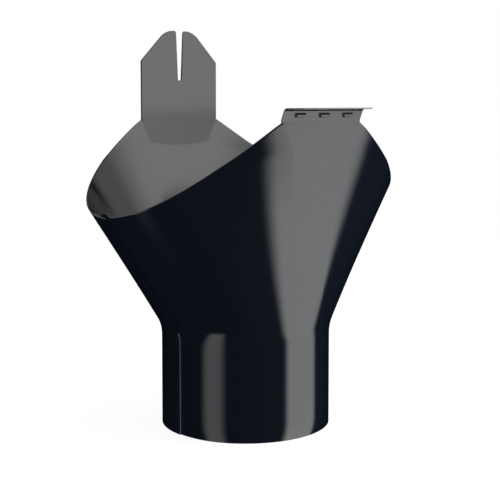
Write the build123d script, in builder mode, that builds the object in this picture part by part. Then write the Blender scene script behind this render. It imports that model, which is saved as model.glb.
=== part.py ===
from build123d import *
import os
from math import acos, asin, atan, cos, degrees, hypot, radians, sin, sqrt, tan

# Outlet for a half-round gutter, rolled and folded from one piece of coated steel sheet.
# X runs along the gutter, -Y looks to the gutter's front bead and +Y to the wall of the house.
# The origin is the centre of the spigot's lower rim, so the outlet stands on Z = 0.

# Sheet: steel with its coating
sheet = 0.7

# Spigot that a round downpipe slips over, the neck above it and the bend into the funnel
spigot_radius = 49.25
spigot_length = 50.0
neck_run = 8.0
neck_swell = 0.1
neck_bend_radius = 20.0

# Half-round gutter that the mouth lies against from below
gutter_radius = 64.4
gutter_axis_height = 190.8

# Funnel: its rounded ends lean out by this amount for each millimetre of height
side_slope = 0.735
# Half-width of the flat facet at the front and at the rear, and how fast it widens
facet_half_at_neck = 10.0
facet_slope = 0.112

# Upright panels above the facets: a trapezoid up to the rim, with straight sides from there on.
# They stand in from the gutter's outside, and their feet lie this far below its axis.
panel_inset = 1.6
panel_foot_drop = 30.1282
panel_foot_half = 20.4
panel_half = 30.0

# Collar on both sides of each panel, bent back from it round the gutter
collar_angle = 5.65
collar_radius = 228.0
collar_sweep = 11.0
# Half-width of the panel's plane where it parts from the facet, hidden in the facet's own plane
collar_foot_half = 3.0
# Points that the rim's curve is drawn through on each side
rim_steps = 6

# Front panel: it leans out above the rim and ends in a lip, below the gutter's axis and its bead
lean_out = 2.7
lip_drop = 6.3
lip_depth = 9.6
lip_corner_radius = 4.6
lip_bend_radius = 1.2
lean_start = 1.5
lean_bend_radius = 5.0

# Nibs pressed out of the front panel under the lip
nib_count = 3
nib_pitch = 18.0
nib_top_width = 8.6
nib_foot_width = 6.2
nib_height = 3.0
nib_rise = 0.7
nib_drop = 1.4
nib_side_run = 0.6

# Rear tab above the gutter's axis, slit so that its halves can be bent over the gutter's rear edge
tab_half = 29.5
tab_rise = 40.7
tab_shoulder_drop = 19.0
tab_shoulder_angle = 45.0
tab_corner_radius = 2.0
tab_crown_radius = 14.0
slit_depth = 30.7
slit_top_width = 5.2
slit_foot_width = 2.4
slit_foot_radius = 1.1
slit_lip_radius = 1.5

# Lap seam on the -X side: the rear edge of the sheet lies over the front edge
lap_width = 10.0
seam_gap = 0.4
seam_depth = 0.6

# Tongue on the rim above the seam
tongue_base = 10.4
tongue_top = 3.8
tongue_height = 1.8

# How far a cutting form reaches past the sheet, and how near a corner lies to where it is looked for
margin = 10.0
near = 0.01

# Heights and widths that follow from the sizes above
neck_height = spigot_length + neck_run
neck_radius = spigot_radius + neck_swell
form_top = gutter_axis_height + sheet
panel_offset = gutter_radius - panel_inset
panel_foot_height = gutter_axis_height - panel_foot_drop
face_slope = (panel_offset - neck_radius) / (panel_foot_height - neck_height)
rim_side_height = gutter_axis_height - sqrt(gutter_radius**2 - panel_offset**2)
lip_height = gutter_axis_height - lip_drop
tab_height = gutter_axis_height + tab_rise
panel_flare = (panel_half - panel_foot_half) / (rim_side_height - panel_foot_height)
collar_foot_height = panel_foot_height - (panel_foot_half - collar_foot_half) / panel_flare


def panel_half_at(height):
    """Half-width of the trapezoid between its foot and the rim."""
    return panel_foot_half + panel_flare * (height - panel_foot_height)


def half_length_at(height, inset=0.0):
    """Half the funnel's length along X."""
    return neck_radius + side_slope * (height - neck_height) - inset * hypot(1, side_slope)


def half_width_at(height, inset=0.0):
    """Half the funnel's width along Y, over the flat facets."""
    return neck_radius + face_slope * (height - neck_height) - inset * hypot(1, face_slope)


def facet_half_at(height):
    """Half-width of the flat facet."""
    return facet_half_at_neck + facet_slope * (height - neck_height)


def neck_section(level, radius, facet_angle):
    """A circle as a face of four arcs, so that the facets have corners of their own to start from."""
    arcs = []
    for middle in (-90, 90):
        arcs.append(CenterArc((0, 0), radius, middle - facet_angle, 2 * facet_angle))
        arcs.append(CenterArc((0, 0), radius, middle + facet_angle, 180 - 2 * facet_angle))
    return Plane.XY.offset(level) * Face(Wire(arcs))


def funnel_form(inset):
    """The closed form of spigot and funnel, with its skin moved in by inset."""
    neck_level = neck_height + inset * tan((atan(side_slope) + atan(face_slope)) / 4)
    facet_angle = degrees(asin(facet_half_at_neck / neck_radius))
    length = half_length_at(form_top, inset)
    width = half_width_at(form_top, inset)
    facet = facet_half_at(form_top)
    side_angle = degrees(acos(facet / length))
    bulge = width / sqrt(1 - (facet / length) ** 2)
    foot = neck_section(spigot_length, spigot_radius - inset, facet_angle)
    neck = neck_section(neck_level, neck_radius - inset, facet_angle)
    with BuildSketch(Plane.XY.offset(form_top)) as mouth:
        with BuildLine():
            Line((-facet, -width), (facet, -width))
            EllipticalCenterArc((0, 0), length, bulge, -side_angle, arc_size=2 * side_angle)
            Line((facet, width), (-facet, width))
            EllipticalCenterArc((0, 0), length, bulge, 180 - side_angle, arc_size=2 * side_angle)
        make_face()
    with BuildPart() as form:
        loft([foot, neck, mouth.sketch.face()], ruled=True)
        with BuildSketch(Plane.XY.offset(spigot_length)):
            Circle(spigot_radius - inset)
        extrude(amount=-spigot_length)
        neck_edges = form.edges().filter_by_position(Axis.Z, neck_level - near, neck_level + near)
        fillet(neck_edges, neck_bend_radius + inset)
    return form.part


def turned(direction, angle):
    """The direction along X, +1 or -1, turned by an angle in the plan."""
    return Vector(direction, 0).rotate(Axis.Z, angle)


def collar_cut(inset):
    """What lies outside the rear panel and its collar; the front takes its mirror image."""
    offset = panel_offset - inset
    reach = 3 * panel_offset
    with BuildPart() as cut:
        for height in (collar_foot_height, form_top + margin):
            half = panel_half_at(height)
            with BuildSketch(Plane.XY.offset(height)):
                with BuildLine():
                    panel = Line((-half, offset), (half, offset))
                    right = JernArc(panel @ 1, turned(1, -collar_angle), collar_radius - inset, -collar_sweep)
                    right_run = Line(right @ 1, right @ 1 + (right % 1) * reach)
                    left = JernArc(panel @ 0, turned(-1, collar_angle), collar_radius - inset, collar_sweep)
                    left_run = Line(left @ 1, left @ 1 + (left % 1) * reach)
                    far = (right_run @ 1).X
                    Polyline(right_run @ 1, (far, reach), (-far, reach), left_run @ 1)
                make_face()
        loft(ruled=True)
    return cut.part


def body_form(inset):
    """Closed form of spigot, funnel, panels and collars, with its skin moved in by inset."""
    cut = collar_cut(inset)
    with BuildPart() as form:
        add(funnel_form(inset))
        add(cut, mode=Mode.SUBTRACT)
        add(mirror(cut, Plane.XZ), mode=Mode.SUBTRACT)
    return form.part


def rim_point(angle):
    """Where the skin meets the gutter, at an angle up from the gutter's lowest line: X and Z."""
    y = gutter_radius * sin(radians(angle))
    z = gutter_axis_height - gutter_radius * cos(radians(angle))
    bulge = half_width_at(z) / sqrt(1 - (facet_half_at(z) / half_length_at(z)) ** 2)
    on_funnel = half_length_at(z) * sqrt(max(1 - (y / bulge) ** 2, 0))
    back = panel_offset - y
    bend = min(degrees(acos(cos(radians(collar_angle)) - back / collar_radius)), collar_angle + collar_sweep)
    along = collar_radius * (sin(radians(bend)) - sin(radians(collar_angle)))
    done = collar_radius * (cos(radians(collar_angle)) - cos(radians(bend)))
    on_collar = panel_half_at(z) + along + (back - done) / tan(radians(bend))
    return (min(on_funnel, on_collar), z)


def rim_cut():
    """What lies above the rim, as one outline in side view cut straight through along Y."""
    side_angle = degrees(asin(panel_offset / gutter_radius))
    points = [rim_point(side_angle * step / rim_steps) for step in range(rim_steps)]
    points.append((panel_half, rim_side_height))
    mirrored = [(-x, z) for x, z in points]
    top = form_top + margin
    far = half_length_at(form_top) + margin
    with BuildPart() as cut:
        with BuildSketch(Plane.XZ):
            with BuildLine():
                right = Spline(*points)
                out = Line(right @ 0, right @ 0 - (right % 0) * margin)
                left = Spline(*mirrored)
                out_left = Line(left @ 0, left @ 0 - (left % 0) * margin)
                level = (out @ 1).Y
                Polyline(out @ 1, (far, level), (far, top), (-far, top), (-far, level), out_left @ 1)
                Line(right @ 1, left @ 1)
            make_face()
        extrude(amount=2 * panel_offset, both=True)
    return cut.part


def nib_form(level):
    """One pressed nib, its foot at a level above the panel's outer face."""
    with BuildPart() as nib:
        for rise, shrink in ((0.0, 0.0), (nib_rise, nib_side_run)):
            half_top = nib_top_width / 2 - shrink
            half_foot = nib_foot_width / 2 - shrink
            half_height = nib_height / 2 - shrink
            with BuildSketch(Plane.XY.offset(level + rise)):
                with BuildLine():
                    Polyline(
                        (-half_foot, -half_height),
                        (half_foot, -half_height),
                        (half_top, half_height),
                        (-half_top, half_height),
                        close=True,
                    )
                make_face()
        loft(ruled=True)
    return nib.part


# The front panel above the rim, in side view along the middle of the sheet
panel_middle = panel_offset - sheet / 2
lip_middle = lip_height - sheet / 2
lean_foot = Vector(0, -panel_middle, rim_side_height + lean_start)
lean_top = Vector(0, -panel_middle - lean_out, lip_middle)
lean_way = (lean_top - lean_foot).normalized()
lean_normal = Vector(0, -lean_way.Z, lean_way.Y)
nib_centre = lean_top - lean_way * (nib_drop + nib_height / 2) + lean_normal * (sheet / 2)
nib_plane = Plane(origin=nib_centre, x_dir=(1, 0, 0), z_dir=lean_normal)
nib_places = [(step - (nib_count - 1) / 2) * nib_pitch for step in range(nib_count)]

# The rear tab's shoulders, the corners of its crown before rounding, and the foot of its slit
tab_shoulder_height = tab_height - tab_shoulder_drop
crown_half = tab_half - tab_shoulder_drop / tan(radians(tab_shoulder_angle))
slit_foot_height = tab_height - slit_depth

rim_end_x, rim_end_z = rim_point(0)
outside = body_form(0)
inside = body_form(sheet)
lap_inside = body_form(2 * sheet)
seam_bed = body_form(seam_depth)
above_rim = rim_cut()
nib_outside = nib_form(0)
nib_inside = nib_form(-sheet)

with BuildPart() as lap:
    add(inside)
    add(lap_inside, mode=Mode.SUBTRACT)
    with BuildSketch(Plane.XY):
        with Locations((-half_length_at(form_top) / 2, lap_width / 2)):
            Rectangle(half_length_at(form_top), lap_width)
    extrude(amount=form_top, mode=Mode.INTERSECT)

with BuildPart() as seam:
    add(outside)
    add(seam_bed, mode=Mode.SUBTRACT)
    with BuildSketch(Plane.XY):
        with Locations((-half_length_at(form_top) / 2, -seam_gap / 2)):
            Rectangle(half_length_at(form_top), seam_gap)
    extrude(amount=form_top, mode=Mode.INTERSECT)

with BuildPart() as outlet_body:
    # Spigot, funnel, trapezoids and collars, with the lap behind the seam
    add(outside)
    add(inside, mode=Mode.SUBTRACT)
    add(lap.part)
    add(seam.part, mode=Mode.SUBTRACT)
    add(above_rim, mode=Mode.SUBTRACT)

    # Front panel with its lip
    with BuildSketch(Plane.YZ):
        with BuildLine():
            FilletPolyline(
                (lean_foot.Y, rim_side_height),
                (lean_foot.Y, lean_foot.Z),
                (lean_top.Y, lean_top.Z),
                (lean_top.Y - lip_depth, lean_top.Z),
                radius=(lean_bend_radius, lip_bend_radius),
            )
        trace(line_width=sheet)
    extrude(amount=panel_half, both=True)
    lip_corners = outlet_body.edges().filter_by(Axis.Z).group_by(Axis.Y)[0]
    fillet(lip_corners, lip_corner_radius)

    # Nibs under the lip, hollow at the back
    for place in nib_places:
        with Locations(nib_plane.location * Location((place, 0, 0))):
            add(nib_outside)
            add(nib_inside, mode=Mode.SUBTRACT)

    # Rear tab
    with BuildSketch(Plane.XZ.offset(-panel_offset)) as tab_sketch:
        with BuildLine():
            Polyline(
                (-tab_half, rim_side_height),
                (tab_half, rim_side_height),
                (tab_half, tab_shoulder_height),
                (crown_half, tab_height),
                (-crown_half, tab_height),
                (-tab_half, tab_shoulder_height),
                close=True,
            )
        make_face()
        fillet(tab_sketch.vertices().group_by(Axis.Y)[-1], tab_crown_radius)
        fillet(tab_sketch.vertices().group_by(Axis.X)[0].sort_by(Axis.Y)[-1], tab_corner_radius)
        fillet(tab_sketch.vertices().group_by(Axis.X)[-1].sort_by(Axis.Y)[-1], tab_corner_radius)
        with BuildLine():
            Polyline(
                (-slit_foot_width / 2, slit_foot_height),
                (slit_foot_width / 2, slit_foot_height),
                (slit_top_width / 2, tab_height),
                (-slit_top_width / 2, tab_height),
                close=True,
            )
        make_face(mode=Mode.SUBTRACT)
        slit_foot = tab_sketch.vertices().filter_by_position(
            Axis.Y, slit_foot_height - near, slit_foot_height + near
        )
        fillet(slit_foot, min(slit_foot_radius, slit_foot_width / 2 - near))
        lips = tab_sketch.vertices().group_by(Axis.Y)[-1].sort_by(lambda v: abs(v.X))[:2]
        fillet(lips, slit_lip_radius)
    extrude(amount=sheet)

    # Tongue above the seam
    with BuildSketch(Plane.YZ.offset(-rim_end_x)):
        with BuildLine():
            Polyline(
                (-tongue_base / 2, rim_end_z),
                (tongue_base / 2, rim_end_z),
                (tongue_top / 2, rim_end_z + tongue_height),
                (-tongue_top / 2, rim_end_z + tongue_height),
                close=True,
            )
        make_face()
    extrude(amount=sheet)

outlet_body.part.label = "outlet_body"

os.makedirs("parts", exist_ok=True)
export_step(outlet_body.part, "parts/outlet_body.step")
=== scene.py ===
"""Looks of a folded gutter outlet: its coated sheet as one smooth surface, on a pale stage."""

from math import asin, acos, cos, pi, radians, sin, sqrt, tan

import bmesh
import bpy
import numpy as np
from bpy.props import FloatProperty, FloatVectorProperty, PointerProperty
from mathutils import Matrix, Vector


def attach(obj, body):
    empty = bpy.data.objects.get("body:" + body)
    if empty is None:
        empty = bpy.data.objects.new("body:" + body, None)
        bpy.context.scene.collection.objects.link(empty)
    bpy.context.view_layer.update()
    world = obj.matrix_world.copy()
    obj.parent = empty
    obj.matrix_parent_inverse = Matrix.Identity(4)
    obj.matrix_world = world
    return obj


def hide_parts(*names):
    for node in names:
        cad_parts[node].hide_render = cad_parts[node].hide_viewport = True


bl_info = {
    "name": "Gutter Outlet",
    "version": (1, 0, 0),
    "blender": (4, 5, 0),
    "location": "View3D > Sidebar > Gutter Outlet",
    "description": "Folds a coated steel gutter outlet and sets it on a pale stage",
    "category": "Add Mesh",
}

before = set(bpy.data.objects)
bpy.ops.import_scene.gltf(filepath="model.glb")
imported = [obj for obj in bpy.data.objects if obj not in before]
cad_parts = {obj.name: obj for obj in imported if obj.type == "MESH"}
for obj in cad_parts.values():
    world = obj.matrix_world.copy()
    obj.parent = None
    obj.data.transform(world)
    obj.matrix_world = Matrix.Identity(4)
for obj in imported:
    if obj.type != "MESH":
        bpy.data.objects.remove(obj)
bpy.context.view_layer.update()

MM = 0.001
WHITE = (1, 1, 1, 1)
# Points nearer than this are one point
NEAR = 0.01 * MM
# Cosine from which two directions are one
STRAIGHT = 0.999
# Halvings of a search, which end far below a micrometre
HALVINGS = 50
# Rows are fine this far below and above the neck, where its bend is
NECK_ZONE = 7 * MM
# The fold between panel and collar is blended this many fold sizes to each side
COLLAR_BLEND = 6
# Faces across a rounded cut edge
ROUND_STEPS = 2
# Edges that turn by more than this are drawn sharp
SHARP_TURN = radians(25)
# Points along each side of a softbox and round the floor
SOFTBOX_POINTS = 65
FLOOR_POINTS = 97
# Octaves of the coating's orange peel
PEEL_DETAIL = 1.5
# The camera's frame in millimetres, and how near and far it sees in metres
FRAME_WIDTH = 36
NEAREST = 0.01
FARTHEST = 10

# Faces along each stretch of the sheet, finest at the nibs and at the neck's bend
STEPS = {
    "lap": 8,
    "joggle": 24,
    "front_flank": 26,
    "front_left_corner": 16,
    "front_facet": 112,
    "front_right_corner": 14,
    "right_end": 88,
    "rear_corner": 8,
    "rear_facet": 28,
    "rear_flank": 44,
    "spigot": 6,
    "neck": 16,
    "funnel": 40,
    "trapezoid": 14,
    "upright": 3,
    "lean": 40,
    "lip": 12,
    "bend": 8,
    "tab_outline": 40,
    "tab_foot": 2,
    "tab": 12,
    "tab_top": 6,
    "tongue": 4,
}


def linear(code):
    """Linear red, green and blue of an sRGB hex colour such as 1A2B3C."""
    srgb = np.array([int(code[start : start + 2], 16) for start in (0, 2, 4)]) / 255
    return tuple(np.where(srgb <= 0.04045, srgb / 12.92, ((srgb + 0.055) / 1.055) ** 2.4))


def size(name, millimetres, description):
    """A length property, given in millimetres and held in metres."""
    return FloatProperty(
        name=name,
        description=description,
        default=millimetres * MM,
        precision=5,
        subtype="DISTANCE",
        unit="LENGTH",
    )


def angle(name, degrees, description):
    """An angle property, given in degrees and held in radians."""
    return FloatProperty(
        name=name,
        description=description,
        default=radians(degrees),
        subtype="ANGLE",
        unit="ROTATION",
    )


def colour(name, code, description):
    """A colour property, given as sRGB hex and held as linear values."""
    return FloatVectorProperty(
        name=name,
        description=description,
        default=linear(code),
        subtype="COLOR",
        min=0,
        max=1,
    )


def share(name, value, description, top=1.0):
    """A plain number from zero to top."""
    return FloatProperty(name=name, description=description, default=value, min=0, max=top)


class FunnelSizes(bpy.types.PropertyGroup):
    """Spigot, neck, funnel and the gutter that lies in the mouth."""

    sheet: size("Sheet", 0.7, "Steel with its coating")
    spigot_radius: size("Spigot radius", 49.25, "Outside of the round spigot")
    spigot_length: size("Spigot length", 50, "Straight stretch that the downpipe slips over")
    neck_height: size("Neck height", 58, "Where the funnel starts above the spigot's lower rim")
    neck_swell: size("Neck swell", 0.1, "How much wider the neck is than the spigot")
    neck_bend_radius: size("Neck bend", 20, "Radius of the bend between spigot and funnel")
    gutter_radius: size("Gutter radius", 64.4, "Saddle radius round the outside of the gutter")
    gutter_axis_height: size("Gutter axis", 190.8, "Height of the gutter's axis")
    side_slope: share("Side slope", 0.735, "How far the ends lean out for each unit of height")
    face_slope: share("Face slope", 0.131, "How far the facets lean out for each unit of height")
    facet_half_at_neck: size("Facet at neck", 10, "Half-width of the flat facets at the neck")
    facet_slope: share("Facet slope", 0.112, "How fast the facets widen upwards")


class PanelSizes(bpy.types.PropertyGroup):
    """Upright panels, their collars, the front lip with its nibs and the rear tab with its slit."""

    offset: size("Panel offset", 62.8, "From the middle to the panels' outer faces")
    foot_half: size("Trapezoid foot", 20.4, "Half-width of the trapezoid at its foot")
    half: size("Panel half", 30, "Half-width of the panels at the rim")
    collar_angle: angle("Collar angle", 5.65, "Fold between a panel and its collars")
    collar_radius: size("Collar radius", 228, "Radius that the collars are rolled to")
    collar_sweep: angle("Collar sweep", 11, "How far the collars turn back from the panel")
    collar_foot_half: size("Collar foot", 3, "Half-width between the collars at their foot")
    fold: size("Fold", 0.12, "How much the folds between panel, collar and funnel are rounded")
    lean_start: size("Lean start", 1.5, "Height above the rim from which the front panel leans")
    lean_out: size("Lean out", 2.7, "How far the front panel leans out")
    lean_bend_radius: size("Lean bend", 5, "Bend radius where the front panel starts to lean")
    lip_height: size("Lip height", 184.5, "Upper face of the lip")
    lip_depth: size("Lip depth", 9.6, "How far the lip stands out")
    lip_corner_radius: size("Lip corners", 4.6, "Rounded corners of the lip")
    lip_bend_radius: size("Lip bend", 2.4, "Bend radius between front panel and lip")
    nib_pitch: size("Nib pitch", 18, "From one nib to the next")
    nib_top_width: size("Nib top", 8.6, "Width of a nib at its upper side")
    nib_foot_width: size("Nib foot", 6.2, "Width of a nib at its lower side")
    nib_height: size("Nib height", 2.9, "Height of a nib")
    nib_rise: size("Nib rise", 1.3, "How far a nib is pressed out")
    nib_drop: size("Nib drop", 2.2, "From the lip down to a nib")
    nib_run: size("Nib run", 0.85, "Width of a nib's slanting sides")
    tab_half: size("Tab half", 29.5, "Half-width of the rear tab")
    tab_shoulder_height: size("Tab shoulder", 212.5, "Where the tab's slanting shoulders start")
    tab_height: size("Tab height", 231.5, "Top of the rear tab")
    tab_shoulder_angle: angle("Shoulder angle", 45, "Slant of the tab's shoulders")
    tab_corner_radius: size("Tab corners", 2, "Radius at the foot of the shoulders")
    tab_crown_radius: size("Tab crown", 14, "Radius at the top of the shoulders")
    slit_foot_height: size("Slit foot", 200.8, "Lower end of the slit")
    slit_foot_width: size("Slit foot width", 2.4, "Width of the slit at its round foot")
    slit_top_width: size("Slit top width", 5.2, "Width of the slit at the tab's top")
    slit_lip_radius: size("Slit lips", 1.5, "Radius of the slit's upper corners")


class SeamSizes(bpy.types.PropertyGroup):
    """Lap seam on the -X side and the tongue above it."""

    lap_angle: angle("Lap", 11.6, "How far the inner layer reaches past the seam")
    joggle_angle: angle("Joggle", 34, "Length of the step that takes one layer under the other")
    play: size("Play", 0.02, "Gap between the two layers")
    tongue_base: size("Tongue base", 10.4, "Width of the tongue at the rim")
    tongue_top: size("Tongue top", 3.8, "Width of the tongue at its top")
    tongue_height: size("Tongue height", 1.8, "How far the tongue stands above the rim")


class CoatingLook(bpy.types.PropertyGroup):
    """Colours and gloss of the coated sheet."""

    coat: colour("Coat", "0A0E15", "Black coil coating")
    coat_roughness: share("Coat roughness", 0.1, "Blur of the coating's reflections")
    coat_ior: share("Coat IOR", 1.5, "Refraction of polyester, which sets how much it mirrors", 3.0)
    peel: size("Orange peel", 0.8, "Width of the ripples in the coating")
    peel_depth: size("Peel depth", 0.009, "Depth of those ripples")
    edge: colour("Cut edge", "6E7072", "Zinc and steel that the shears left bare")
    edge_roughness: share("Edge roughness", 0.5, "Blur of the cut edge's reflections")
    edge_metal: share("Edge metal", 0.3, "Bright metal's share of the cut edge, beside dull zinc")
    edge_bevel: size("Edge bevel", 0.12, "How far the coating is drawn round the cut edges")


class StageLook(bpy.types.PropertyGroup):
    """Floor, fill light and camera."""

    floor: colour("Floor", "F4F4F4", "Pale floor")
    floor_glow: share("Floor glow", 1.24, "Light of the floor itself beside its matt share", 2.0)
    floor_matt: share("Floor matt", 0.3, "Share of the floor that takes light and shadow")
    floor_radius: size("Floor radius", 2500, "Size of the floor")
    fill: share("Fill", 0.5, "Light from all round on matt surfaces")
    camera_x: size("Camera X", -429.6, "Camera place along the gutter")
    camera_y: size("Camera Y", -488.3, "Camera place in front of the gutter")
    camera_z: size("Camera Z", 188.1, "Camera height")
    azimuth: angle("Azimuth", 41.574, "Camera's heading from +Y towards +X")
    pitch: angle("Pitch", 4.05, "How far the camera looks down")
    lens: share("Lens", 80.21, "Focal length in millimetres on a 36 mm frame", 200.0)
    shift: share("Frame shift", 0.14, "How far the frame is shifted down, as a share of its width")


class Softbox:
    """Sizes of a flat upright softbox, which stands square to the way from the outlet's axis to its
    middle. Its sides are measured from there."""

    facing: angle("Facing", 0, "Where its middle stands, from -Y towards +X")
    distance: size("Distance", 200, "From the outlet's axis")
    strength: share("Strength", 1, "Radiance at its left side", 10.0)
    fall: share("Fall", 0, "Share of its light that it loses from left to right")
    left: size("Left", -300, "Left side, from its middle")
    right: size("Right", 300, "Right side, from its middle")
    left_fade: size("Left fade", 60, "How far its left side fades")
    right_fade: size("Right fade", 60, "How far its right side fades")
    low: size("Low", -170, "Height of its lower side")
    high: size("High", 320, "Height of its upper side")
    low_fade: size("Low fade", 20, "How far its lower side fades")
    corner: share("Corner", 0, "How much darker its upper left corner is")
    corner_width: size("Corner width", 130, "How far to the right the corner's shade reaches")
    corner_low: size("Corner foot", 60, "Height where the corner's shade starts")
    corner_rise: size("Corner rise", 50, "Height over which the corner's shade comes on")


class KeySoftbox(bpy.types.PropertyGroup, Softbox):
    """Large panel close in front of the outlet: the grey sheen of its front panel and facet."""

    strength: share("Strength", 3.75, "Radiance at its left side", 10.0)
    fall: share("Fall", 0.63, "Share of its light that it loses from left to right")
    left: size("Left", 15, "Left side, from its middle")
    right: size("Right", 430, "Right side, from its middle")
    left_fade: size("Left fade", 36, "How far its left side fades")
    right_fade: size("Right fade", 145, "How far its right side fades")
    low: size("Low", -230, "Height of its lower side")
    high: size("High", 176, "Height of its upper side")
    low_fade: size("Low fade", 50, "How far its lower side fades")
    corner: share("Corner", 0.25, "How much darker its upper left corner is")


class UpperSoftbox(bpy.types.PropertyGroup, Softbox):
    """Panel above the key that only the inner walls see."""

    strength: share("Strength", 4.05, "Radiance at its left side", 10.0)
    fall: share("Fall", 0.58, "Share of its light that it loses from left to right")
    left: size("Left", 60, "Left side, from its middle")
    right: size("Right", 700, "Right side, from its middle")
    left_fade: size("Left fade", 100, "How far its left side fades")
    right_fade: size("Right fade", 400, "How far its right side fades")
    low: size("Low", 176, "Height of its lower side")
    low_fade: size("Low fade", 1, "How far its lower side fades")


class SideSoftbox(bpy.types.PropertyGroup, Softbox):
    """Weak panel beside the outlet, high enough that only the inner walls see it."""

    facing: angle("Facing", 85, "Where its middle stands, from -Y towards +X")
    distance: size("Distance", 350, "From the outlet's axis")
    strength: share("Strength", 1.2, "Radiance at its left side", 10.0)
    fall: share("Fall", 0.6, "Share of its light that it loses from left to right")
    left: size("Left", -130, "Left side, from its middle")
    right: size("Right", 135, "Right side, from its middle")
    left_fade: size("Left fade", 80, "How far its left side fades")
    right_fade: size("Right fade", 100, "How far its right side fades")
    low: size("Low", 160, "Height of its lower side")


class StripSoftbox(bpy.types.PropertyGroup, Softbox):
    """Weak far panel on the camera's left: the band on spigot and funnel."""

    facing: angle("Facing", -90, "Where its middle stands, from -Y towards +X")
    distance: size("Distance", 3000, "From the outlet's axis")
    strength: share("Strength", 1.3, "Radiance at its left side", 10.0)
    left: size("Left", -1092, "Left side, from its middle")
    right: size("Right", 1399, "Right side, from its middle")
    left_fade: size("Left fade", 830, "How far its left side fades")
    right_fade: size("Right fade", 870, "How far its right side fades")
    low: size("Low", -5300, "Height of its lower side")
    high: size("High", 3600, "Height of its upper side")
    low_fade: size("Low fade", 2000, "How far its lower side fades")


class RearSoftbox(bpy.types.PropertyGroup, Softbox):
    """Low panel behind the outlet, for the rear panel and the folds beside it."""

    facing: angle("Facing", 137, "Where its middle stands, from -Y towards +X")
    distance: size("Distance", 600, "From the outlet's axis")
    strength: share("Strength", 2.4, "Radiance at its left side", 10.0)
    left: size("Left", -140, "Left side, from its middle")
    right: size("Right", 140, "Right side, from its middle")
    left_fade: size("Left fade", 50, "How far its left side fades")
    right_fade: size("Right fade", 50, "How far its right side fades")
    low: size("Low", -700, "Height of its lower side")
    high: size("High", 110, "Height of its upper side")


class DimScreen(bpy.types.PropertyGroup, Softbox):
    """Far wall of the dark studio on the camera's side, which lifts the black a little."""

    facing: angle("Facing", -25, "Where its middle stands, from -Y towards +X")
    distance: size("Distance", 3000, "From the outlet's axis")
    strength: share("Strength", 0.025, "Radiance at its left side", 10.0)
    left: size("Left", -3300, "Left side, from its middle")
    right: size("Right", 3300, "Right side, from its middle")
    left_fade: size("Left fade", 2200, "How far its left side fades")
    right_fade: size("Right fade", 2200, "How far its right side fades")
    low: size("Low", -3000, "Height of its lower side")
    high: size("High", 3000, "Height of its upper side")


GROUPS = {
    "outlet_funnel": FunnelSizes,
    "outlet_panels": PanelSizes,
    "outlet_seam": SeamSizes,
    "outlet_coating": CoatingLook,
    "outlet_stage": StageLook,
    "outlet_key_softbox": KeySoftbox,
    "outlet_upper_softbox": UpperSoftbox,
    "outlet_side_softbox": SideSoftbox,
    "outlet_strip_softbox": StripSoftbox,
    "outlet_rear_softbox": RearSoftbox,
    "outlet_dim_screen": DimScreen,
}


def smooth_step(value):
    """0 below 0, 1 above 1, and 3t^2 - 2t^3 between."""
    t = np.clip(value, 0, 1)
    return t * t * (3 - 2 * t)


def smooth_min(a, b, fold):
    """The smaller of two, rounded by a parabola where they differ by less than fold."""
    near = np.clip(1 - np.abs(a - b) / fold, 0, None)
    return np.minimum(a, b) - near**2 * fold / 4


def smooth_ramp(value, width):
    """0 below -width, the value itself above width, and (v + w)^2 / 4w between."""
    return np.where(value < width, np.clip(value + width, 0, None) ** 2 / (4 * width), value)


def rows(*stretches):
    """Even steps along each stretch (start, end, steps), joined with their shared ends once."""
    parts = [np.linspace(start, end, steps + 1) for start, end, steps in stretches]
    return np.concatenate([parts[0]] + [part[1:] for part in parts[1:]])


def bent_path(corners, radii, run_steps, arc_steps):
    """Points and directions along straight runs joined by arcs: each corner is cut back by radius
    times the tangent of half its turn, and the arc turns at an even rate between the cuts."""
    corners = [np.array(corner, float) for corner in corners]
    points, ways = [], []
    start = corners[0]
    for index, steps in enumerate(run_steps):
        way = corners[index + 1] - corners[index]
        way = way / np.linalg.norm(way)
        end = corners[index + 1]
        if index < len(radii):
            after = corners[index + 2] - corners[index + 1]
            after = after / np.linalg.norm(after)
            turn = np.arctan2(way[0] * after[1] - way[1] * after[0], way @ after)
            end = end - way * radii[index] * tan(abs(turn) / 2)
        part = np.linspace(0, 1, steps + 1)[:, None]
        points.append(start + (end - start) * part)
        ways.append(np.repeat(way[None], steps + 1, axis=0))
        if index < len(radii):
            side = np.sign(turn) * np.array([-way[1], way[0]])
            sweep = np.linspace(0, abs(turn), arc_steps + 1)[1:-1, None]
            points.append(end + radii[index] * (np.sin(sweep) * way + (1 - np.cos(sweep)) * side))
            ways.append(np.cos(sweep) * way + np.sin(sweep) * side)
            start = corners[index + 1] + after * radii[index] * tan(abs(turn) / 2)
    return np.concatenate(points), np.concatenate(ways)


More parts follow.
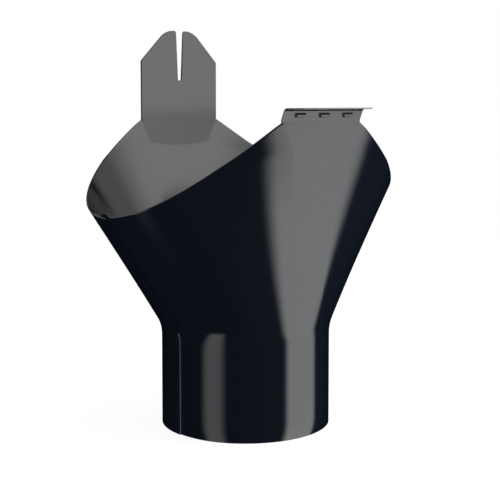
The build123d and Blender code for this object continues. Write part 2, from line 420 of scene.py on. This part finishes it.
class Sheet:
    """The outlet's outer skin as functions of two parameters: a column round it and a height.

    A column is a straight line of the funnel: it starts at an angle of the neck's circle and ends
    on the long upper section, which is two straight facets joined by arcs of an ellipse."""

    def __init__(self, funnel, panel, seam):
        self.funnel, self.panel, self.seam = funnel, panel, seam
        self.top = funnel.gutter_axis_height + funnel.sheet
        self.rise = self.top - funnel.neck_height
        self.rim_side = funnel.gutter_axis_height - sqrt(funnel.gutter_radius**2 - panel.offset**2)
        self.neck_radius = funnel.spigot_radius + funnel.neck_swell
        self.fold_height = (
            funnel.neck_height + (panel.offset - self.neck_radius) / funnel.face_slope
        )
        self.flare = (panel.half - panel.foot_half) / (self.rim_side - self.fold_height)
        self.length = self.neck_radius + funnel.side_slope * self.rise
        self.width = self.neck_radius + funnel.face_slope * self.rise
        self.facet = funnel.facet_half_at_neck + funnel.facet_slope * self.rise
        self.facet_angle = asin(funnel.facet_half_at_neck / self.neck_radius)
        self.side_angle = acos(self.facet / self.length)
        self.bulge = self.width / sqrt(1 - (self.facet / self.length) ** 2)

    def side(self, centre, turns):
        """Columns of a rounded side, at angles from its middle: neck angle, upper X and upper Y."""
        neck = centre + turns * (pi / 2 - self.facet_angle) / self.side_angle
        x = self.length * np.cos(centre + turns)
        y = self.bulge * np.sin(centre + turns)
        return np.stack([neck, x, y])

    def face(self, front, shares):
        """Columns of a flat facet, from -1 to 1 going round: neck angle, upper X and upper Y."""
        neck = -front * pi / 2 + shares * self.facet_angle
        y = np.full_like(shares, -front * self.width)
        return np.stack([neck, front * shares * self.facet, y])

    def skin(self, columns, height):
        """A column rises straight, swells evenly up to the neck and leans out from there at the
        slope to its upper point, with an arc of the neck's bend radius at its foot. Y then stays
        within the panel and its collar."""
        funnel, panel = self.funnel, self.panel
        round_neck = np.stack([np.cos(columns[0]), np.sin(columns[0])])
        way = (columns[1:] - self.neck_radius * round_neck) / self.rise
        slope = np.hypot(*way)
        lean = np.arctan(slope)
        bend = funnel.neck_bend_radius
        start = funnel.neck_height - bend * np.tan(lean / 2)
        above = np.clip(height - start, 0, bend * np.sin(lean))
        out = np.where(
            height < start + bend * np.sin(lean),
            bend - np.sqrt(bend**2 - above**2),
            slope * (height - funnel.neck_height),
        )
        cone = funnel.neck_height - funnel.spigot_length
        swell = np.clip((height - funnel.spigot_length) / cone, 0, 1)
        radius = funnel.spigot_radius + funnel.neck_swell * swell
        x = round_neck[0] * radius + way[0] / slope * out
        y = round_neck[1] * radius + way[1] / slope * out
        y = np.sign(y) * smooth_min(np.abs(y), self.collar(np.abs(x), height), panel.fold)
        return np.stack([x, y, height + 0 * x], axis=-1)

    def collar(self, x, height):
        """Y of panel and collar: level over the trapezoid, then an arc that starts at the fold's
        angle, and a straight run where the arc has turned through its sweep."""
        panel = self.panel
        half = panel.foot_half + self.flare * (height - self.fold_height)
        past = smooth_ramp(x - np.maximum(half, panel.collar_foot_half), COLLAR_BLEND * panel.fold)
        first, last = sin(panel.collar_angle), sin(panel.collar_angle + panel.collar_sweep)
        turned = np.minimum(past / panel.collar_radius + first, last)
        arc = panel.collar_radius * (cos(panel.collar_angle) - np.sqrt(1 - turned**2))
        run = past - panel.collar_radius * (turned - first)
        return panel.offset - arc - run * turned / np.sqrt(1 - turned**2)

    def rim(self, columns):
        """Height where each column meets the gutter's cylinder, found by halving."""
        low = np.full(columns.shape[1], self.funnel.neck_height)
        high = np.full(columns.shape[1], self.rim_side)
        for _ in range(HALVINGS):
            middle = (low + high) / 2
            y = self.skin(columns, middle)[:, 1]
            reach = np.sqrt(np.clip(self.funnel.gutter_radius**2 - y**2, 0, None))
            below = middle < self.funnel.gutter_axis_height - reach
            low = np.where(below, middle, low)
            high = np.where(below, high, middle)
        return high

    def corner_turn(self):
        """Angle on a rounded side of the column that ends at a corner of the panel, by halving."""
        low, high = 0.0, self.side_angle
        for _ in range(HALVINGS):
            middle = (low + high) / 2
            x = self.skin(self.side(0.0, np.array([middle])), self.rim_side)[0, 0]
            low, high = (middle, high) if x > self.panel.half else (low, middle)
        return (low + high) / 2


def outward(grid):
    """Unit normals of a grid of points, from the cross product of its two directions."""
    normal = np.cross(np.gradient(grid, axis=1), np.gradient(grid, axis=0))
    return normal / np.linalg.norm(normal, axis=-1, keepdims=True)


def body_grid(form):
    """Columns once round from under the seam to the seam's outer edge, and rows from the spigot's
    rim up to the mouth's rim. The joggle takes the first columns under the last ones."""
    seam, funnel = form.seam, form.funnel
    corner, side = form.corner_turn(), form.side_angle
    from_lap = rows(
        (-seam.lap_angle, 0, STEPS["lap"]),
        (0, seam.joggle_angle, STEPS["joggle"]),
        (seam.joggle_angle, corner, STEPS["front_flank"]),
        (corner, side, STEPS["front_left_corner"]),
    )
    right_end = rows(
        (-side, -corner, STEPS["front_right_corner"]),
        (-corner, corner, STEPS["right_end"]),
        (corner, side, STEPS["rear_corner"]),
    )
    to_lap = rows((-side, -corner, STEPS["rear_corner"]), (-corner, 0, STEPS["rear_flank"]))
    columns = np.concatenate([
        form.side(pi, from_lap),
        form.face(1, rows((-1, 1, STEPS["front_facet"])))[:, 1:],
        form.side(0.0, right_end)[:, 1:],
        form.face(-1, rows((-1, 1, STEPS["rear_facet"])))[:, 1:],
        form.side(pi, to_lap)[:, 1:],
    ], axis=1)

    rim = form.rim(columns)
    low, high = funnel.neck_height - NECK_ZONE, funnel.neck_height + NECK_ZONE
    fold = (form.fold_height - high) / (form.rim_side - high)
    level = rows((0, low, STEPS["spigot"]), (low, high, STEPS["neck"]))[:, None] + 0 * rim
    part = rows((0, fold, STEPS["funnel"]), (fold, 1, STEPS["trapezoid"]))[1:, None]
    grid = form.skin(columns, np.concatenate([level, high + part * (rim - high)]))

    under = np.zeros(columns.shape[1])
    step = 1 - smooth_step(from_lap / seam.joggle_angle)
    under[: from_lap.size] = (funnel.sheet + seam.play) * step
    return grid - outward(grid) * under[None, :, None]


def front_grid(form, rim):
    """The rim's columns carried along the front panel's side view: up, leaning out, then the lip.
    Each nib raises the panel by a smooth step of the distance inside its trapezoid outline."""
    panel, sheet = form.panel, form.funnel.sheet
    middle = panel.offset - sheet / 2
    lip = panel.lip_height - sheet / 2
    profile = [
        (-middle, form.rim_side),
        (-middle, form.rim_side + panel.lean_start),
        (-middle - panel.lean_out, lip),
        (-middle - panel.lean_out - panel.lip_depth, lip),
    ]
    radii = (panel.lean_bend_radius, panel.lip_bend_radius)
    runs = (STEPS["upright"], STEPS["lean"], STEPS["lip"])
    path, ways = bent_path(profile, radii, runs, STEPS["bend"])
    normals = np.stack([-ways[:, 1], ways[:, 0]], axis=1)
    skin = path + normals * sheet / 2

    to_edge = path[:, 0] - profile[3][0]
    cut = np.clip(panel.lip_corner_radius - to_edge, 0, None)
    corner = panel.lip_corner_radius - np.sqrt(panel.lip_corner_radius**2 - cut**2)
    x = rim[None, :, 0] * (1 - corner[:, None] / panel.half)

    top = np.array(profile[2])
    lean = (top - np.array(profile[1])) / np.linalg.norm(top - np.array(profile[1]))
    down = (top - path) @ lean - panel.nib_drop - panel.nib_height / 2
    down = np.where(ways @ lean > STRAIGHT, down, panel.nib_height)[:, None]
    across = x - panel.nib_pitch * np.clip(np.round(x / panel.nib_pitch), -1, 1)
    share_up = 0.5 - down / panel.nib_height
    half = (panel.nib_foot_width + (panel.nib_top_width - panel.nib_foot_width) * share_up) / 2
    inside = np.minimum(panel.nib_height / 2 - np.abs(down), half - np.abs(across))
    raised = panel.nib_rise * smooth_step(inside / panel.nib_run)
    y = skin[:, 0, None] + normals[:, 0, None] * raised
    z = skin[:, 1, None] + normals[:, 1, None] * raised
    return np.stack([x, y, z], axis=-1)


def tab_grids(form, rim):
    """The rear tab as two halves. Across a half, X goes evenly from the slit's edge to the tab's
    outline; the slit opens from a round foot, and shoulder and crown are arcs."""
    panel = form.panel
    slant = (panel.tab_height - panel.tab_shoulder_height) / tan(panel.tab_shoulder_angle)
    outline = [
        (panel.tab_half, form.rim_side),
        (panel.tab_half, panel.tab_shoulder_height),
        (panel.tab_half - slant, panel.tab_height),
        (0.0, panel.tab_height),
    ]
    radii = (panel.tab_corner_radius, panel.tab_crown_radius)
    edge = bent_path(outline, radii, (1, 1, 1), STEPS["tab_outline"])[0][:-1]

    foot = panel.slit_foot_width / 2
    round_top = panel.slit_foot_height + foot
    lips = panel.tab_height - panel.slit_lip_radius
    quarter = rows((0, pi / 2, STEPS["bend"]))
    low = form.rim_side + panel.tab_corner_radius / 2
    cut = panel.tab_corner_radius * tan(panel.tab_shoulder_angle / 2)
    shoulder, slope = panel.tab_shoulder_height - cut, panel.tab_shoulder_height + cut
    crown = panel.tab_height - panel.tab_crown_radius * (1 - cos(panel.tab_shoulder_angle))
    height = np.concatenate([
        rows(
            (form.rim_side, low, STEPS["tab_foot"]),
            (low, panel.slit_foot_height, STEPS["tab"]),
        )[:-1],
        panel.slit_foot_height + foot * (1 - np.cos(quarter)),
        rows(
            (round_top, shoulder, STEPS["tab_top"]),
            (shoulder, slope, STEPS["bend"]),
            (slope, crown, STEPS["tab_top"]),
            (crown, lips, STEPS["bend"]),
        )[1:-1],
        lips + panel.slit_lip_radius * np.sin(quarter),
    ])
    outer = np.interp(height, edge[:, 1], edge[:, 0])
    outer[0] = panel.half
    opening = (height - round_top) / (panel.tab_height - round_top)
    line = foot + (panel.slit_top_width / 2 - foot) * opening
    below = np.clip(round_top - height, 0, foot)
    inner = np.where(opening < 0, np.sqrt(foot**2 - below**2), line)
    past = np.clip(height - lips, 0, None)
    inner = inner + panel.slit_lip_radius - np.sqrt(panel.slit_lip_radius**2 - past**2)

    grids = []
    middle = rim.shape[0] // 2
    for half in (rim[: middle + 1], rim[middle:]):
        part = np.abs(half[None, :, 0]) / panel.half
        x = np.sign(half[:, 0].sum()) * (inner[:, None] + (outer - inner)[:, None] * part)
        grids.append(np.stack([x, np.full_like(x, panel.offset), height[:, None] + 0 * x], axis=-1))
    return grids


def tongue_grid(form, rim):
    """The rim's columns above the seam, carried straight up while their Y narrows evenly."""
    seam = form.seam
    up = rows((0, 1, STEPS["tongue"]))[:, None]
    near = rim[np.abs(rim[:, 1]) <= seam.tongue_base / 2]
    y = near[:, 1] * (1 - up * (1 - seam.tongue_top / seam.tongue_base))
    z = near[:, 2] + up * (rim[:, 2].min() + seam.tongue_height - near[:, 2])
    return np.stack([near[:, 0] + 0 * y, y, z], axis=-1)


def grid_mesh(name, grids):
    """One mesh of all the grids: four corners to a face, going round a row and then up."""
    points, faces, start = [], [], 0
    for grid in grids:
        count = grid.shape[0] * grid.shape[1]
        index = start + np.arange(count).reshape(grid.shape[:2])
        corners = (index[:-1, :-1], index[:-1, 1:], index[1:, 1:], index[1:, :-1])
        faces.append(np.stack(corners, axis=-1).reshape(-1, 4))
        points.append(grid.reshape(-1, 3))
        start += count
    mesh = bpy.data.meshes.new(name)
    mesh.from_pydata(np.concatenate(points), [], np.concatenate(faces))
    return mesh


def merged(mesh, distance):
    """Joins points of the mesh that lie within a distance of each other."""
    work = bmesh.new()
    work.from_mesh(mesh)
    bmesh.ops.remove_doubles(work, verts=work.verts, dist=distance)
    work.to_mesh(mesh)
    work.free()


def round_cut_edges(mesh, width):
    """Bevels the edges where coat and cut steel meet, which are those between two materials."""
    work = bmesh.new()
    work.from_mesh(mesh)
    sides = ((edge, {face.material_index for face in edge.link_faces}) for edge in work.edges)
    cut = [edge for edge, slots in sides if len(slots) > 1]
    bmesh.ops.bevel(
        work,
        geom=cut,
        offset=width,
        segments=ROUND_STEPS,
        profile=0.5,
        affect="EDGES",
        material=-1,
    )
    work.to_mesh(mesh)
    work.free()


def link(name, mesh):
    """A new object at the origin for a mesh."""
    piece = bpy.data.objects.new(name, mesh)
    bpy.context.scene.collection.objects.link(piece)
    return piece


def add_node(tree, kind, inputs=(), **settings):
    """Adds a node, sets what it holds, and fills or links its inputs by name or number."""
    node = tree.nodes.new(kind)
    for key, value in settings.items():
        setattr(node, key, value)
    for key, value in dict(inputs).items():
        if isinstance(value, bpy.types.NodeSocket):
            tree.links.new(value, node.inputs[key])
        else:
            node.inputs[key].default_value = value
    return node


def new_material(name):
    """A new material and its node tree, which is empty."""
    material = bpy.data.materials.new(name)
    material.use_nodes = True
    material.node_tree.nodes.clear()
    return material, material.node_tree


def coil_coating(look):
    """Polyester coil coating, baked on the sheet before it is folded: a deep blue-black colour
    with satin gloss, whose orange peel breaks up the edges of each reflection."""
    material, tree = new_material("satin_black_coil_coating")
    place = add_node(tree, "ShaderNodeTexCoord").outputs["Object"]
    peel = add_node(tree, "ShaderNodeTexNoise", {
        "Vector": place,
        "Scale": 1 / look.peel,
        "Detail": PEEL_DETAIL,
    })
    bump = add_node(tree, "ShaderNodeBump", {
        "Height": peel.outputs[0],
        "Strength": 1.0,
        "Distance": look.peel_depth,
    })
    shader = add_node(tree, "ShaderNodeBsdfPrincipled", {
        "Base Color": (*look.coat, 1),
        "Roughness": look.coat_roughness,
        "IOR": look.coat_ior,
        "Normal": bump.outputs[0],
    })
    add_node(tree, "ShaderNodeOutputMaterial", {"Surface": shader.outputs[0]})
    return material


def sheared_edge(look):
    """Zinc-coated steel where the shears cut the sheet: mostly dull grey zinc with some bright
    steel in it, a thin pale line along every edge."""
    material, tree = new_material("sheared_zinc_steel")
    shader = add_node(tree, "ShaderNodeBsdfPrincipled", {
        "Base Color": (*look.edge, 1),
        "Metallic": look.edge_metal,
        "Roughness": look.edge_roughness,
    })
    add_node(tree, "ShaderNodeOutputMaterial", {"Surface": shader.outputs[0]})
    return material


class OUTLET_OT_fold_sheet(bpy.types.Operator):
    """Folds the outlet from one coated sheet, with its wall on the inner side of the skin"""

    bl_idname = "outlet.fold_sheet"
    bl_label = "Fold Sheet"

    def execute(self, context):
        scene = context.scene
        form = Sheet(scene.outlet_funnel, scene.outlet_panels, scene.outlet_seam)
        body = body_grid(form)
        rim = body[-1]
        upright = np.abs(rim[:, 0]) < form.panel.half + NEAR
        front, rear = rim[upright & (rim[:, 1] < 0)], rim[upright & (rim[:, 1] > 0)]
        lap = rim[: STEPS["lap"] + STEPS["joggle"]]
        grids = [body, front_grid(form, front), *tab_grids(form, rear), tongue_grid(form, lap)]
        mesh = grid_mesh("outlet_skin", grids)
        merged(mesh, NEAR)
        mesh.materials.append(coil_coating(scene.outlet_coating))
        mesh.materials.append(sheared_edge(scene.outlet_coating))
        piece = link("outlet_sheet", mesh)
        wall = piece.modifiers.new("wall", "SOLIDIFY")
        wall.thickness = form.funnel.sheet
        wall.offset = -1
        wall.use_even_offset = True
        wall.material_offset_rim = 1

        graph = context.evaluated_depsgraph_get()
        solid = bpy.data.meshes.new_from_object(piece.evaluated_get(graph))
        solid.name = "outlet_sheet"
        round_cut_edges(solid, scene.outlet_coating.edge_bevel)
        self.dim_seam_edge(solid, form)
        piece.modifiers.clear()
        piece.data = solid
        solid.shade_smooth()
        solid.set_sharp_from_angle(angle=SHARP_TURN)
        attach(piece, "root")
        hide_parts("outlet_body")
        return {"FINISHED"}

    def dim_seam_edge(self, mesh, form):
        """Gives the seam's cut edge the dark coat material above the neck, which dims its pale line
        there:
        faces on the -X side between neck and rim whose middle lies within a sheet's thickness of Y
        = 0."""
        middles = np.empty(len(mesh.polygons) * 3)
        mesh.polygons.foreach_get("center", middles)
        x, y, z = middles.reshape(-1, 3).T
        slots = np.empty(len(mesh.polygons), np.int32)
        mesh.polygons.foreach_get("material_index", slots)
        sheet = form.funnel.sheet
        top = form.rim(form.side(pi, np.zeros(1)))[0] - sheet
        on_seam = (x < 0) & (np.abs(y) < sheet) & (z > form.funnel.neck_height) & (z < top)
        slots[on_seam] = 0
        mesh.polygons.foreach_set("material_index", slots)


def softbox(name, look):
    """An upright rectangle: its distance along the way it faces, and from there to its sides.
    Its glow rises by a smooth step over the left, right and lower fade, falls evenly from left
    to right and is weaker by another step in the upper left corner. Light behind it shines
    through, so that the fades of two panels add up."""
    up = np.linspace(look.low, look.high, SOFTBOX_POINTS)[:, None]
    across = np.linspace(look.left, look.right, SOFTBOX_POINTS)
    x = look.distance * sin(look.facing) + across * cos(look.facing)
    y = across * sin(look.facing) - look.distance * cos(look.facing)
    mesh = grid_mesh(name, [np.stack([x + 0 * up, y + 0 * up, up + 0 * across], axis=-1)])
    glow = smooth_step((across - look.left) / look.left_fade)
    glow = glow * smooth_step((look.right - across) / look.right_fade)
    glow = glow * smooth_step((up - look.low) / look.low_fade)
    glow = glow * (1 - look.fall * (across - look.left) / (look.right - look.left))
    shade = smooth_step((up - look.corner_low) / look.corner_rise)
    shade = shade * (1 - smooth_step((across - look.left) / look.corner_width))
    glow = glow * (1 - look.corner * shade)
    mesh.attributes.new("glow", "FLOAT", "POINT").data.foreach_set("value", glow.ravel())
    material, tree = new_material(name)
    level = add_node(tree, "ShaderNodeAttribute", attribute_name="glow").outputs["Fac"]
    power = add_node(tree, "ShaderNodeMath", {0: level, 1: look.strength}, operation="MULTIPLY")
    light = add_node(tree, "ShaderNodeEmission", {"Strength": power.outputs[0]})
    clear = add_node(tree, "ShaderNodeBsdfTransparent")
    both = add_node(tree, "ShaderNodeAddShader", {0: light.outputs[0], 1: clear.outputs[0]})
    add_node(tree, "ShaderNodeOutputMaterial", {"Surface": both.outputs[0]})
    mesh.materials.append(material)
    lamp = link(name, mesh)
    lamp.visible_camera = False
    lamp.visible_shadow = False


class OUTLET_OT_set_stage(bpy.types.Operator):
    """Lays the pale floor, hangs the softboxes and the screen and places the camera"""

    bl_idname = "outlet.set_stage"
    bl_label = "Set Stage"

    def execute(self, context):
        look = context.scene.outlet_stage
        self.lay_floor(look)
        for name, group in GROUPS.items():
            if issubclass(group, Softbox):
                softbox(name.removeprefix("outlet_"), getattr(context.scene, name))
        self.light_world(context, look)
        self.place_camera(context, look)
        context.scene.view_settings.view_transform = "Standard"
        return {"FINISHED"}

    def lay_floor(self, look):
        """A disc: radius times cosine and sine. It glows, so that it meets the white background
        without a line, and its matt share keeps the outlet's shadow."""
        around = np.linspace(0, 2 * pi, FLOOR_POINTS)
        out = np.array([[0.0], [look.floor_radius]])
        grid = np.stack([out * np.cos(around), -out * np.sin(around), 0 * out * around], axis=-1)
        mesh = grid_mesh("floor", [grid])
        merged(mesh, NEAR)
        material, tree = new_material("matt_white_paper")
        matt = add_node(tree, "ShaderNodeBsdfDiffuse", {"Color": (*look.floor, 1)})
        glow = add_node(tree, "ShaderNodeEmission", {"Color": WHITE, "Strength": look.floor_glow})
        mixed = add_node(tree, "ShaderNodeMixShader", {
            0: look.floor_matt,
            1: glow.outputs[0],
            2: matt.outputs[0],
        })
        add_node(tree, "ShaderNodeOutputMaterial", {"Surface": mixed.outputs[0]})
        mesh.materials.append(material)
        floor = link("floor", mesh)
        floor.visible_glossy = False
        floor.visible_shadow = False

    def light_world(self, context, look):
        """White where the camera sees it, a plain fill on matt surfaces, and black in reflections,
        where the softboxes and the dim screen are all that the dark studio shows."""
        world = bpy.data.worlds.new("studio")
        context.scene.world = world
        world.use_nodes = True
        tree = world.node_tree
        tree.nodes.clear()
        path = add_node(tree, "ShaderNodeLightPath")
        matt, direct = path.outputs["Is Diffuse Ray"], path.outputs["Is Camera Ray"]
        fill = add_node(tree, "ShaderNodeMath", {0: matt, 1: look.fill}, operation="MULTIPLY")
        fill = fill.outputs[0]
        seen = add_node(tree, "ShaderNodeMath", {0: direct, 1: fill}, operation="MAXIMUM")
        sky = add_node(tree, "ShaderNodeBackground", {"Color": WHITE, "Strength": seen.outputs[0]})
        add_node(tree, "ShaderNodeOutputWorld", {"Surface": sky.outputs[0]})

    def place_camera(self, context, look):
        """Heading and pitch give the view's direction; the frame is shifted down to the foot."""
        data = bpy.data.cameras.new("camera")
        data.lens = look.lens
        data.sensor_width = FRAME_WIDTH
        data.shift_y = -look.shift
        data.clip_start = NEAREST
        data.clip_end = FARTHEST
        camera = bpy.data.objects.new("camera", data)
        context.scene.collection.objects.link(camera)
        camera.location = (look.camera_x, look.camera_y, look.camera_z)
        flat = cos(look.pitch)
        way = Vector((sin(look.azimuth) * flat, cos(look.azimuth) * flat, -sin(look.pitch)))
        camera.rotation_euler = way.to_track_quat("-Z", "Y").to_euler()
        context.scene.camera = camera


class OUTLET_PT_panel(bpy.types.Panel):
    """Lists the outlet's operators and sizes"""

    bl_label = "Gutter Outlet"
    bl_idname = "OUTLET_PT_panel"
    bl_space_type = "VIEW_3D"
    bl_region_type = "UI"
    bl_category = "Gutter Outlet"

    def draw(self, context):
        for name in GROUPS:
            group = getattr(context.scene, name)
            box = self.layout.box()
            for key in group.bl_rna.properties.keys():
                if key not in ("rna_type", "name"):
                    box.prop(group, key)
        self.layout.operator("outlet.fold_sheet")
        self.layout.operator("outlet.set_stage")


CLASSES = (*GROUPS.values(), OUTLET_OT_fold_sheet, OUTLET_OT_set_stage, OUTLET_PT_panel)


def register():
    for entry in CLASSES:
        bpy.utils.register_class(entry)
    for name, group in GROUPS.items():
        setattr(bpy.types.Scene, name, PointerProperty(type=group))


def unregister():
    for name in GROUPS:
        delattr(bpy.types.Scene, name)
    for entry in reversed(CLASSES):
        bpy.utils.unregister_class(entry)


def main():
    register()
    bpy.ops.outlet.fold_sheet()
    bpy.ops.outlet.set_stage()


if __name__ == "__main__":
    main()
